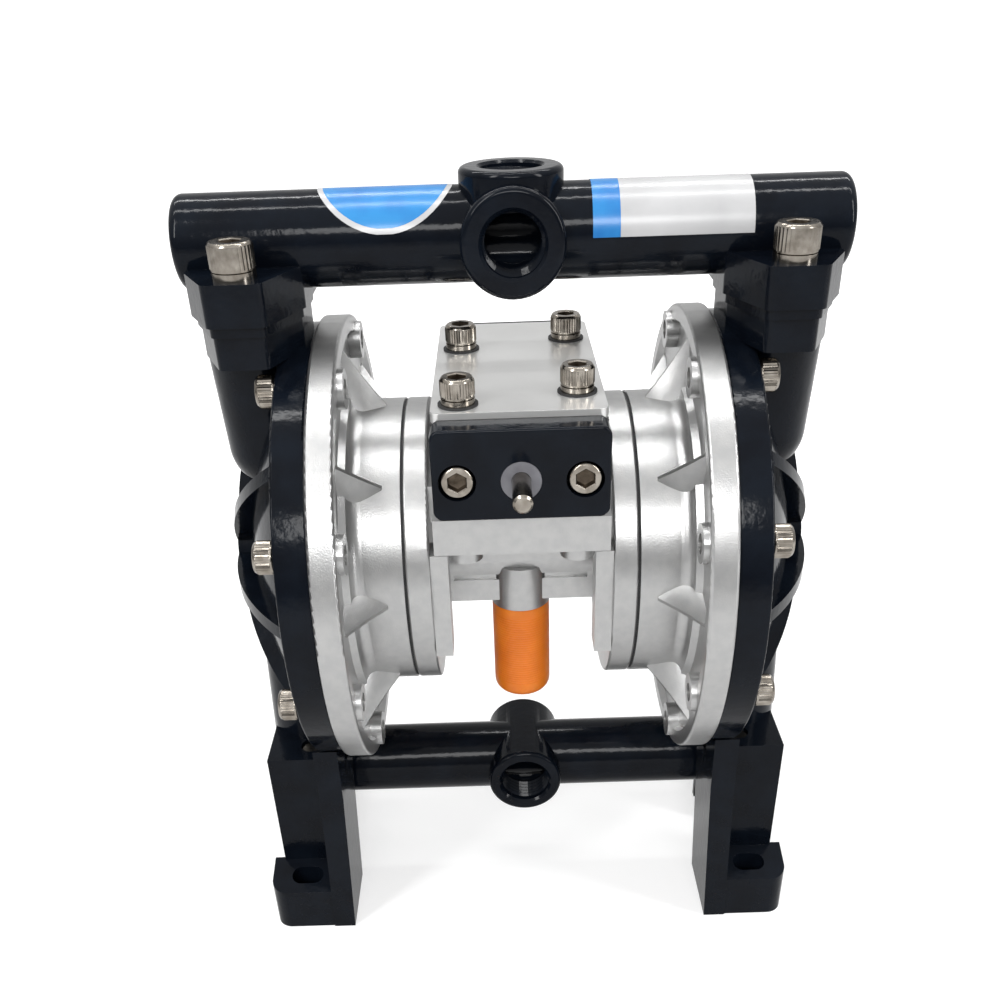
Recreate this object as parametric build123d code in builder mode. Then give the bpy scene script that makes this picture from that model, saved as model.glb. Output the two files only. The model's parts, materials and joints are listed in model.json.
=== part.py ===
"""Air operated double diaphragm pump, half-inch size, with a spool air valve.

Millimetres. The origin is on the ground, under the middle of the shaft: +Z up, the shaft
along X, the valve's reset pin towards -Y. Each right-hand piece is modelled at +X and
mirrored for the left.
"""
import os
from math import cos, pi, sin, sqrt

from build123d import *

os.makedirs("parts", exist_ok=True)

# Clearances
fit = 0.1            # radial gap between parts of one assembly
running = 0.05       # radial gap where a part slides

# Fasteners
m6_r = 3.0
m6_head_r = 5.0
m6_head_h = 6.0
m6_hex = 5.0
m8_r = 4.0
m8_head_r = 6.5
m8_head_h = 8.0
m8_hex = 6.0
spring_washer_6 = 1.6
spring_washer_8 = 2.1

# Stations along the shaft, from the middle of the pump outwards
shaft_z = 144.5      # shaft axis above the ground
body_half = 25.0     # half width of the valve block
flange_inner = 28.5  # middle to the inner face of a centre flange
centre_flange_t = 7.8
gasket_t = 0.7
hub_l = 16.3         # length of an air chamber's round hub
air_flange_t = 8.4
ring_t = 10.2        # rim of the fluid chamber
joint_x = flange_inner + centre_flange_t
hub_x = joint_x + gasket_t
air_flange_x = hub_x + hub_l
clamp_x = air_flange_x + air_flange_t      # plane where the diaphragm is clamped
ring_x = clamp_x + ring_t

# Radii about the shaft
hub_r = 48.4
air_flange_r = 75.6
ring_r = 73.7
bolt_circle_r = 68.0
rim_bolts = 8
cavity_r = 55.0
bead_r = 62.0
spigot_r = 22.0

# Shaft and diaphragms
shaft_r = 6.0
stud_r = 4.5
stroke = 7.0         # travel each way from the middle
diaphragm_t = 2.5
bead_t = 4.0
plate_r = 29.0       # diaphragm clamping plates
inner_plate_t = 5.0
outer_plate_t = 8.0
bush_r = 8.5
bush_l = 14.0
seal_r = 9.5
seal_l = 5.0
pilot_r = 3.0
pilot_y = 11.5
pilot_up = 11.5
pilot_gap = 3.0      # inner plate to pilot rod at mid stroke

# Valve block
block_rear = 36.0
block_front = 54.0
block_top = 60.0
saddle_front = 34.0
saddle_rear = 30.0
saddle_top = 34.0    # saddle between the block and the centre flanges
block_low = 22.0
shelf_front = 57.5   # band of metal under the front cap
shelf_top = 33.2
top_gasket_t = 1.0
plate_t = 3.0
plate_front = 53.8
plate_rear = 35.8
screw_x = 17.2
screw_y_left = (-46.5, 7.0)
screw_y_right = (-38.5, 15.5)
screw_boss_r = 5.3
screw_boss_y = 45.5
screw_boss_low = 15.5
cap_t = 8.0
cap_gasket_t = 0.8
cap_half = 25.2
cap_low = 35.4
cap_high = 62.2
cap_corner = 3.0
cap_screw_x = 18.0
spool_up = 47.0      # spool axis above the shaft axis
spool_r = 7.0
sleeve_r = 10.0
spool_travel = 6.0
reset_r = 2.75
reset_out = 16.0     # reset pin beyond the cap's face
reset_bush_r = 5.75
housing_r = 17.0
neck_half = 20.0
web_half = 15.5
web_low = 17.0
pad_t = 5.5
pad_front = 46.0
pad_back = 36.0
pad_low = 20.3
pad_high = 16.0
exhaust_y = -8.5
exhaust_r = 10.2
exhaust_low = 20.0
silencer_r = 10.1
silencer_l = 37.3
silencer_neck_r = 6.4
silencer_neck_l = 9.0
inlet_up = 13.0      # air inlet, on the rear
inlet_boss_r = 10.0
inlet_boss_y = 40.0
inlet_r = 5.9
inlet_depth = 12.0

# Fluid side
column_x = 79.5      # axis of the valve columns and manifold bolts
discharge_up = 100.4
discharge_r = 13.7
discharge_half = 100.0
suction_down = 96.1
suction_r = 13.0
bore_r = 8.8
port_boss_r = 15.5
port_r = 9.3
port_l = 13.0        # threaded length of a port
port_neck_r = 7.8    # passage behind the thread
port_chamfer = 0.8
discharge_front = 18.6
discharge_top = 18.6
suction_boss_r = 13.9
suction_front = 19.0
joint_up = 80.5      # both manifold joints, from the shaft axis
column_top_r = 17.6
column_low_r = 16.0
column_end = 38.0    # where a column's round end is centred
column_wall = 7.0
top_flange_low = 71.0
top_flange_high = 95.5
foot_flange_top = 73.5
flange_bolt_y = 25.0
foot_bolt_y = 21.0
foot_bolt_head = 36.5   # foot bolt's seat above the ground
ball_r = 7.0
ball_lift = 4.0
seat_r = 11.0
seat_h = 4.5
seat_bore_r = 5.2
cage_h = 18.0
cage_roof = 2.0
cage_bore_r = 8.8
cage_guide_r = 7.3
o_ring_r = 12.2
o_ring_t = 1.4

# Feet
block_inner = 66.0
block_low_inner = 71.0   # its inner face slopes away below the joint
block_outer = 95.0
block_half = 30.0
waist_z = 35.0       # underside of the block that carries the tube
web_inner = 66.0
web_foot_inner = 68.3
web_outer = 74.5
web_front = 45.0
web_back = 16.0
lug_outer = 99.0
lug_reach = 44.5
lug_front_h = 18.0
lug_back_h = 22.5
lug_corner = 6.0
front_leg_inner = 70.5
rear_leg_inner = 76.0
rear_lug_inner = 78.0
arch_half = 12.0
arch_top = 33.0
slot_x = 85.5
slot_y = 37.0
slot_r = 3.5
slot_l = 12.0

shaft_axis = Axis((0, 0, shaft_z), (1, 0, 0))
side_view = Plane(origin=(0, 0, shaft_z), x_dir=(1, 0, 0), z_dir=(0, -1, 0))
seat_edge = sqrt(ball_r ** 2 - seat_bore_r ** 2)
discharge_z = shaft_z + discharge_up
suction_z = shaft_z - suction_down
discharge_joint = shaft_z + joint_up
suction_joint = shaft_z - joint_up


def station(x):
    """Plane across the shaft at x: local x is +Y, local y is +Z, extruding towards +X."""
    return Plane(origin=(x, 0, shaft_z), x_dir=(0, 1, 0), z_dir=(1, 0, 0))


def facing(y, up=0.0):
    """Plane across Y at height up over the shaft: local x is +X, extruding towards -Y."""
    return Plane(origin=(0, y, shaft_z + up), x_dir=(1, 0, 0), z_dir=(0, -1, 0))


def level(up):
    """Horizontal plane at a height over the shaft axis."""
    return Plane.XY.offset(shaft_z + up)


def save(piece, name):
    """Labels a piece and writes it as one STEP file."""
    piece.label = name
    export_step(piece, f"parts/{name}.step")


def save_pair(piece, name):
    """Writes a right-hand piece and its mirror image."""
    save(piece, f"{name}_right")
    save(mirror(piece, about=Plane.YZ), f"{name}_left")


def box(x0, x1, y0, y1):
    """A rectangle in the current sketch, given by its edges."""
    with Locations(((x0 + x1) / 2, (y0 + y1) / 2)):
        Rectangle(x1 - x0, y1 - y0)


def screws(plane, places, head_r, head_h, shank_r, shank_l, hexagon):
    """Socket head cap screws on a plane, one at each local place, shanks going down."""
    with BuildPart() as made:
        with BuildSketch(plane):
            with Locations(*places):
                Circle(head_r)
        extrude(amount=head_h)
        tops = made.faces().group_by(Axis(plane.origin, plane.z_dir))[-1]
        chamfer(tops.edges(), head_h / 12)
        with BuildSketch(plane.offset(head_h)):
            with Locations(*places):
                RegularPolygon(hexagon / sqrt(3), 6)
        extrude(amount=-head_h / 2, mode=Mode.SUBTRACT)
        with BuildSketch(plane):
            with Locations(*places):
                Circle(shank_r)
        extrude(amount=-shank_l)
    return made.part


def spring_washers(plane, places, inner_r, outer_r, thickness):
    """Split spring washers lying on a plane."""
    with BuildPart() as made:
        with BuildSketch(plane):
            with Locations(*places):
                Circle(outer_r)
                Circle(inner_r, mode=Mode.SUBTRACT)
                with Locations(((inner_r + outer_r) / 2, 0)):
                    Rectangle(outer_r, outer_r / 8, mode=Mode.SUBTRACT)
        extrude(amount=thickness)
    return made.part


def ring(plane, outer_r, inner_r, thickness):
    """A plain washer or bush on a plane."""
    with BuildPart() as made:
        with BuildSketch(plane):
            Circle(outer_r)
            Circle(inner_r, mode=Mode.SUBTRACT)
        extrude(amount=thickness)
    return made.part


# --- Centre body: valve block, saddle and shaft housing between the two centre flanges ---
spigot_end = hub_x + column_wall - 0.8
block_l = block_front + block_rear
screw_places = [(-screw_x, y) for y in screw_y_left] + [(screw_x, y) for y in screw_y_right]
plate_screw_l = 13.0
plate_screw_hole = plate_screw_l - plate_t - top_gasket_t + 0.5
cap_screw_l = 16.0
cap_screw_bite = cap_screw_l - cap_t + m6_head_h - cap_gasket_t
air_screw_circle_r = 30.0
air_screws = 4
air_screw_l = 12.0
air_head_r = 5.2
air_head_h = 3.3
air_screw_bite = air_screw_l - (spigot_end - joint_x)



def shaft_bores():
    """Shaft bore stepped for its bushes and seals, and the bore of the pilot rod."""
    with BuildPart() as space:
        with BuildSketch(station(-spigot_end)):
            Circle(shaft_r + 0.8)
        extrude(amount=2 * spigot_end)
        for side in (-1, 1):
            with BuildSketch(station(side * spigot_end)):
                Circle(bush_r + fit)
            extrude(amount=-side * (seal_l + bush_l))
            with BuildSketch(station(side * spigot_end)):
                Circle(seal_r + fit)
            extrude(amount=-side * seal_l)
        with BuildSketch(station(-spigot_end)):
            with Locations((pilot_y, pilot_up)):
                Circle(pilot_r + running)
        extrude(amount=2 * spigot_end)
    return space.part


with BuildPart() as centre_flange:
    with BuildSketch(station(flange_inner)):
        Circle(hub_r)
    extrude(amount=centre_flange_t)
    fillet(centre_flange.edges().filter_by(GeomType.CIRCLE), 0.8)
    with BuildSketch(station(flange_inner)):
        box(-pad_front, -pad_back, -pad_low, pad_high)
    extrude(amount=-pad_t)
    with BuildSketch(station(joint_x)):
        Circle(spigot_r)
    extrude(amount=spigot_end - joint_x)
    with BuildSketch(station(joint_x)):
        with PolarLocations(air_screw_circle_r, air_screws, start_angle=45):
            Circle(m6_r + running)
    extrude(amount=-air_screw_bite - 1, mode=Mode.SUBTRACT)
    add(shaft_bores(), mode=Mode.SUBTRACT)
save_pair(centre_flange.part, "centre_flange")

with BuildPart() as centre_body:
    with BuildSketch(level(block_low)):
        box(-body_half, body_half, -block_front, block_rear)
    extrude(amount=block_top - block_low)
    with BuildSketch(level(block_low)):
        box(-body_half - 1.2, body_half + 1.2, -shelf_front, -saddle_front)
    extrude(amount=shelf_top - block_low)
    with BuildSketch(level(0)):
        box(-flange_inner, flange_inner, -saddle_front, saddle_rear)
    extrude(amount=saddle_top)
    with BuildSketch(level(0)):
        box(-flange_inner, flange_inner, -saddle_front, -neck_half)
        box(-flange_inner, flange_inner, neck_half, saddle_rear)
    extrude(amount=block_low, mode=Mode.SUBTRACT)
    with BuildSketch(level(-web_low)):
        box(-flange_inner, flange_inner, -web_half, web_half)
    extrude(amount=web_low)
    with BuildSketch(station(-flange_inner)):
        Circle(housing_r)
    extrude(amount=2 * flange_inner)
    # Recess along each side of the web, under the shaft housing
    for side in (-1, 1):
        with BuildSketch(facing(side * web_half, -7)):
            Rectangle(2 * (flange_inner - pad_t), 4)
        extrude(amount=side * 1.2, mode=Mode.SUBTRACT)
    with BuildSketch(level(screw_boss_low)):
        with Locations((-screw_x, -screw_boss_y), (screw_x, -screw_boss_y)):
            Circle(screw_boss_r)
    extrude(amount=block_low - screw_boss_low)
    with BuildSketch(level(-exhaust_low)):
        with Locations((0, exhaust_y)):
            Circle(exhaust_r)
    extrude(amount=exhaust_low - web_low / 4)
    with BuildSketch(facing(inlet_boss_y, inlet_up)):
        Circle(inlet_boss_r)
    extrude(amount=inlet_boss_y - neck_half / 2)
    add(shaft_bores(), mode=Mode.SUBTRACT)
    # Spool bore and the screw holes of both caps
    with BuildSketch(facing(block_rear, spool_up)):
        Circle(sleeve_r + fit)
    extrude(amount=block_l, mode=Mode.SUBTRACT)
    for y, inward in ((block_rear, 1), (-block_front, -1)):
        with BuildSketch(facing(y, spool_up)):
            with Locations((-cap_screw_x, 0), (cap_screw_x, 0)):
                Circle(m6_r + running)
        extrude(amount=inward * (cap_screw_bite + 1), mode=Mode.SUBTRACT)
    with BuildSketch(level(block_top)):
        with Locations(*screw_places):
            Circle(m6_r + running)
    extrude(amount=-plate_screw_hole, mode=Mode.SUBTRACT)
    # Threaded sockets for the silencer and the air line
    with BuildSketch(level(-exhaust_low)):
        with Locations((0, exhaust_y)):
            Circle(silencer_neck_r + fit)
    extrude(amount=silencer_neck_l, mode=Mode.SUBTRACT)
    with BuildSketch(facing(inlet_boss_y, inlet_up)):
        Circle(inlet_r)
    extrude(amount=inlet_depth, mode=Mode.SUBTRACT)
save(centre_body.part, "centre_body")

# --- Top plate and its gasket, seals, washers and screws --------------------------------
with BuildPart() as top_gasket:
    with BuildSketch(level(block_top)):
        box(-body_half, body_half, -block_front, block_rear)
        with Locations(*screw_places):
            Circle(m6_r + 0.3, mode=Mode.SUBTRACT)
    extrude(amount=top_gasket_t)
save(top_gasket.part, "top_gasket")

plate_low = block_top + top_gasket_t
plate_high = plate_low + plate_t
with BuildPart() as top_plate:
    with BuildSketch(level(plate_low)) as outline:
        box(-body_half, body_half, -plate_front, plate_rear)
        fillet(outline.vertices(), 2.5)
        with Locations(*screw_places):
            Circle(m6_r + 0.3, mode=Mode.SUBTRACT)
    extrude(amount=plate_t)
save(top_plate.part, "top_plate")

seal_ring_t = 0.5
with BuildPart() as plate_seals:
    with BuildSketch(level(plate_high)):
        with Locations(*screw_places):
            Circle(m6_head_r + 0.8)
            Circle(m6_r + 0.2, mode=Mode.SUBTRACT)
    extrude(amount=seal_ring_t)
save(plate_seals.part, "plate_seals")
washer_low = plate_high + seal_ring_t
save(spring_washers(level(washer_low), screw_places, m6_r + 0.2, m6_head_r - 0.1, spring_washer_6),
     "plate_washers")
save(screws(level(washer_low + spring_washer_6), screw_places, m6_head_r, m6_head_h, m6_r,
            plate_screw_l + seal_ring_t + spring_washer_6, m6_hex), "plate_screws")

# --- End caps ---------------------------------------------------------------------------
cap_mid = (cap_low + cap_high) / 2 - spool_up
reset_bush_l = 6.0


def end_cap(y, outward, bore_r):
    """A cap over one end of the spool bore; outward is -1 at the front, 1 at the rear."""
    face = facing(y, spool_up)
    with BuildPart() as cap:
        with BuildSketch(face) as outline:
            with Locations((0, cap_mid)):
                Rectangle(2 * cap_half, cap_high - cap_low)
            fillet(outline.vertices(), cap_corner)
        extrude(amount=-outward * cap_t)
        outer = cap.faces().group_by(Axis((0, 0, 0), (0, outward, 0)))[-1]
        fillet(outer.edges(), 0.8)
        front = face.offset(-outward * cap_t)
        with BuildSketch(front):
            with Locations((-cap_screw_x, 0), (cap_screw_x, 0)):
                Circle(m6_head_r + 0.4)
        extrude(amount=outward * m6_head_h, mode=Mode.SUBTRACT)
        with BuildSketch(front):
            with Locations((-cap_screw_x, 0), (cap_screw_x, 0)):
                Circle(m6_r + 0.2)
            if bore_r:
                Circle(bore_r)
        extrude(amount=outward * cap_t, mode=Mode.SUBTRACT)
        if bore_r:
            with BuildSketch(front):
                Circle(reset_bush_r + fit)
            extrude(amount=outward * reset_bush_l, mode=Mode.SUBTRACT)
    return cap.part


def cap_gasket(y, outward):
    """The sheet gasket between a cap and the block."""
    with BuildPart() as gasket:
        with BuildSketch(facing(y, spool_up)) as outline:
            with Locations((0, cap_mid)):
                Rectangle(2 * cap_half, cap_high - cap_low)
            fillet(outline.vertices(), cap_corner)
            with Locations((-cap_screw_x, 0), (cap_screw_x, 0)):
                Circle(m6_r + 0.2, mode=Mode.SUBTRACT)
            Circle(spool_r + 1, mode=Mode.SUBTRACT)
        extrude(amount=-outward * cap_gasket_t)
    return gasket.part


cap_places = [(-cap_screw_x, 0), (cap_screw_x, 0)]
cap_front = block_front + cap_gasket_t + cap_t
for name, wall, outward in (("front", -block_front, -1), ("rear", block_rear, 1)):
    seat = wall + outward * cap_gasket_t
    pin_hole = reset_r + running if name == "front" else 0
    save(end_cap(seat, outward, pin_hole), f"{name}_end_cap")
    save(cap_gasket(wall, outward), f"{name}_cap_gasket")
    head_y = seat + outward * (cap_t - m6_head_h)
    head_plane = Plane(origin=(0, head_y, shaft_z + spool_up), x_dir=(1, 0, 0),
                       z_dir=(0, outward, 0))
    save(screws(head_plane, cap_places, m6_head_r, m6_head_h, m6_r, cap_screw_l, m6_hex),
         f"{name}_cap_screws")

save(ring(facing(-cap_front, spool_up), reset_bush_r, reset_r + running, -reset_bush_l),
     "reset_bush")

# --- Spool valve ------------------------------------------------------------------------
sleeve_l = block_l - 1.0
sleeve_front = -block_front + 0.5
spool_l = 84.0
spool_front = -block_front - 0.3
land = 11.0
with BuildPart() as valve_sleeve:
    with BuildSketch(facing(sleeve_front, spool_up)):
        Circle(sleeve_r)
        Circle(spool_r + running, mode=Mode.SUBTRACT)
    extrude(amount=-sleeve_l)
    for k in range(5):
        with BuildSketch(facing(sleeve_front + (k + 1) * sleeve_l / 6 - 2, spool_up)):
            Circle(sleeve_r)
            Circle(sleeve_r - 1, mode=Mode.SUBTRACT)
        extrude(amount=-4, mode=Mode.SUBTRACT)
save(valve_sleeve.part, "valve_sleeve")

with BuildPart() as valve_spool:
    with BuildSketch(facing(spool_front, spool_up)):
        Circle(spool_r)
    extrude(amount=-spool_l)
    waist_l = (spool_l - 4 * land) / 3
    for k in range(3):
        with BuildSketch(facing(spool_front + land + k * (land + waist_l), spool_up)):
            Circle(spool_r)
            Circle(spool_r - 2.5, mode=Mode.SUBTRACT)
        extrude(amount=-waist_l, mode=Mode.SUBTRACT)
save(valve_spool.part, "valve_spool")

reset_tip = cap_front + reset_out
with BuildPart() as reset_pin:
    with BuildSketch(facing(-reset_tip, spool_up)):
        Circle(reset_r)
    extrude(amount=-(reset_tip + spool_front))
    chamfer(reset_pin.faces().sort_by(Axis.Y)[0].edges(), 0.6)
save(reset_pin.part, "reset_pin")

# --- Exhaust silencer -------------------------------------------------------------------
with BuildPart() as silencer:
    with BuildSketch(level(-exhaust_low)):
        with Locations((0, exhaust_y)):
            Circle(silencer_r)
    extrude(amount=-silencer_l)
    fillet(silencer.faces().sort_by(Axis.Z)[0].edges(), 5)
    with BuildSketch(level(-exhaust_low)):
        with Locations((0, exhaust_y)):
            Circle(silencer_neck_r)
    extrude(amount=silencer_neck_l - 0.5)
save(silencer.part, "silencer")

# --- Air chambers -----------------------------------------------------------------------
bead_in = bead_r - 5.8
land_r = 70.5        # raised land round the rim
land_h = 2.2
recess_x = air_flange_x + land_h
lip_x = diaphragm_t / 2 + 0.15
groove_x = bead_t / 2 + 0.1
boss_h = 1.8
rim_boss_r = 6.0
# Half width and ridge height of a gusset, from the flange to its tip on the hub
gusset_sections = ((recess_x + 0.5, 5.6, 69.0), (48.5, 4.6, 57.0), (hub_x + 5.5, 1.4, hub_r + 0.5))
with BuildPart() as gusset:
    for x, half, ridge in gusset_sections:
        with BuildSketch(station(x)):
            with BuildLine():
                Polyline((-half, hub_r - 2), (half, hub_r - 2), (0.5, ridge), (-0.5, ridge),
                         close=True)
            make_face()
    loft()

with BuildPart() as air_chamber:
    with BuildSketch(side_view):
        with BuildLine():
            Polyline((spigot_end, spigot_r + fit), (hub_x, spigot_r + fit), (hub_x, hub_r),
                     (air_flange_x - 4, hub_r))
            RadiusArc((air_flange_x - 4, hub_r), (air_flange_x, hub_r + 4), -4)
            Polyline((air_flange_x, hub_r + 4), (recess_x, hub_r + 5), (recess_x, land_r - 1),
                     (air_flange_x, land_r), (air_flange_x, air_flange_r), (clamp_x, air_flange_r),
                     (clamp_x, bead_r + fit), (clamp_x - groove_x, bead_r + fit),
                     (clamp_x - groove_x, bead_in), (clamp_x - lip_x, bead_in),
                     (clamp_x - lip_x, cavity_r), (clamp_x - 4, cavity_r - 3),
                     (air_flange_x - 1, hub_r - 5.5), (spigot_end, hub_r - 8),
                     (spigot_end, spigot_r + fit))
        make_face()
    revolve(axis=shaft_axis)
    rims = air_chamber.edges().filter_by(GeomType.CIRCLE)
    fillet([e for e in rims if abs(e.radius - air_flange_r) < 0.01], 0.9)
    for k in range(rim_bolts):
        add(gusset.part.rotate(shaft_axis, 360 / rim_bolts * k))
    with BuildSketch(station(recess_x + 0.5)):
        with PolarLocations(bolt_circle_r, rim_bolts, start_angle=180 / rim_bolts):
            Circle(rim_boss_r)
    extrude(amount=-land_h - boss_h - 0.5)
    with BuildSketch(station(air_flange_x - boss_h)):
        with PolarLocations(bolt_circle_r, rim_bolts, start_angle=180 / rim_bolts):
            Circle(m6_r + running)
    extrude(amount=air_flange_t + boss_h, mode=Mode.SUBTRACT)
    with BuildSketch(station(hub_x)):
        with PolarLocations(air_screw_circle_r, air_screws, start_angle=45):
            Circle(m6_r + 0.3)
    extrude(amount=spigot_end - hub_x, mode=Mode.SUBTRACT)
save_pair(air_chamber.part, "air_chamber")

with BuildPart() as joint_gasket:
    with BuildSketch(station(joint_x)):
        Circle(hub_r - 0.6)
        Circle(spigot_r + 0.2, mode=Mode.SUBTRACT)
        with PolarLocations(air_screw_circle_r, air_screws, start_angle=45):
            Circle(m6_r + 0.3, mode=Mode.SUBTRACT)
    extrude(amount=gasket_t)
save_pair(joint_gasket.part, "joint_gasket")

with BuildPart() as air_chamber_screws:
    with BuildSketch(station(spigot_end)):
        with PolarLocations(air_screw_circle_r, air_screws, start_angle=45):
            Circle(air_head_r)
            RegularPolygon(4 / sqrt(3), 6, mode=Mode.SUBTRACT)
    extrude(amount=air_head_h)
    with BuildSketch(station(spigot_end)):
        with PolarLocations(air_screw_circle_r, air_screws, start_angle=45):
            Circle(m6_r)
    extrude(amount=-air_screw_l)
save_pair(air_chamber_screws.part, "air_chamber_screws")

save_pair(ring(station(spigot_end - seal_l), bush_r, shaft_r + running, -bush_l), "shaft_bush")
save_pair(ring(station(spigot_end), seal_r, shaft_r + running, -seal_l), "shaft_seal")

# --- Shaft, pilot rod and diaphragms ----------------------------------------------------
plate_x = clamp_x - diaphragm_t / 2 - inner_plate_t
stud_x = clamp_x + diaphragm_t / 2 + outer_plate_t - 3
with BuildPart() as diaphragm_shaft:
    with BuildSketch(station(-plate_x)):
        Circle(shaft_r)
    extrude(amount=2 * plate_x)
    for side in (-1, 1):
        with BuildSketch(station(side * plate_x)):
            Circle(stud_r)
        extrude(amount=side * (stud_x - plate_x))
save(diaphragm_shaft.part, "diaphragm_shaft")

pilot_half = plate_x - pilot_gap
with BuildPart() as pilot_rod:
    with BuildSketch(station(-pilot_half)):
        with Locations((pilot_y, pilot_up)):
            Circle(pilot_r)
    extrude(amount=2 * pilot_half)
    chamfer(pilot_rod.edges().filter_by(GeomType.CIRCLE), 0.5)
save(pilot_rod.part, "pilot_rod")

with BuildPart() as inner_plate:
    with BuildSketch(side_view):
        with BuildLine():
            Polyline((plate_x, stud_r + running), (plate_x, plate_r - 4),
                     (clamp_x - diaphragm_t / 2 - 2, plate_r), (clamp_x - diaphragm_t / 2, plate_r),
                     (clamp_x - diaphragm_t / 2, stud_r + running), close=True)
        make_face()
    revolve(axis=shaft_axis)
save_pair(inner_plate.part, "inner_plate")

outer_face = clamp_x + diaphragm_t / 2
with BuildPart() as outer_plate:
    with BuildSketch(side_view):
        with BuildLine():
            Polyline((outer_face, stud_r + running), (outer_face, plate_r), (outer_face + 1.5, plate_r))
            TangentArc((outer_face + outer_plate_t, 0), (outer_face + 1.5, plate_r), tangent=(0, 1))
            Polyline((outer_face + outer_plate_t, 0), (stud_x + 0.2, 0), (stud_x + 0.2, stud_r + running),
                     (outer_face, stud_r + running))
        make_face()
    revolve(axis=shaft_axis)
save_pair(outer_plate.part, "outer_plate")

roll = (cavity_r + plate_r) / 2
half_t = diaphragm_t / 2
with BuildPart() as diaphragm:
    with BuildSketch(side_view):
        with BuildLine():
            Polyline((clamp_x - half_t, roll - 9), (clamp_x - half_t, stud_r + running),
                     (clamp_x + half_t, stud_r + running), (clamp_x + half_t, roll - 9))
            ThreePointArc((clamp_x + half_t, roll - 9), (clamp_x + half_t + 3, roll),
                          (clamp_x + half_t, roll + 9))
            Polyline((clamp_x + half_t, roll + 9), (clamp_x + half_t, bead_in + 0.2),
                     (clamp_x + bead_t / 2, bead_in + 0.2), (clamp_x + bead_t / 2, bead_r),
                     (clamp_x - bead_t / 2, bead_r), (clamp_x - bead_t / 2, bead_in + 0.2),
                     (clamp_x - half_t, bead_in + 0.2), (clamp_x - half_t, roll + 9))
            ThreePointArc((clamp_x - half_t, roll + 9), (clamp_x - half_t + 3, roll),
                          (clamp_x - half_t, roll - 9))
        make_face()
    revolve(axis=shaft_axis)
save_pair(diaphragm.part, "diaphragm")

# --- Fluid chambers ---------------------------------------------------------------------
dome_x = 91.0
dome_r = 61.0
dome_ribs = 8
hub_boss_x = 96.5
hub_boss_r = 11.0
dome_rib_t = 4.5
foot_flange_inner = block_inner - 0.5
nose = [(62.5, 12.0), (71.3, 33.5), (87.6, 33.5), (96.0, 17.0)]
column_axis = Axis((column_x, 0, 0), (0, 0, 1))


def nosed_flange(inset):
    """Corners of a two-bolt flange, narrowed to a nose round each bolt."""
    (back, low), (near, end), (far, _), (front, high) = nose
    half = [(back + inset, low - inset), (near + inset / 2, end - inset),
            (far - inset / 2, end - inset), (front - inset, high - inset)]
    return half + [(x, -y) for x, y in reversed(half)]


with BuildPart() as dome_rib:
    with BuildSketch(side_view):
        with BuildLine():
            Polyline((dome_x - 3, 0), (hub_boss_x, 0), (hub_boss_x, hub_boss_r - 2))
            ThreePointArc((hub_boss_x, hub_boss_r - 2), (88, 42), (ring_x, dome_r + 4))
            Polyline((ring_x, dome_r + 4), (ring_x - 1, dome_r - 5), (80, 36), (dome_x - 3, 0))
        make_face()
    extrude(amount=dome_rib_t / 2, both=True)

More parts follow.
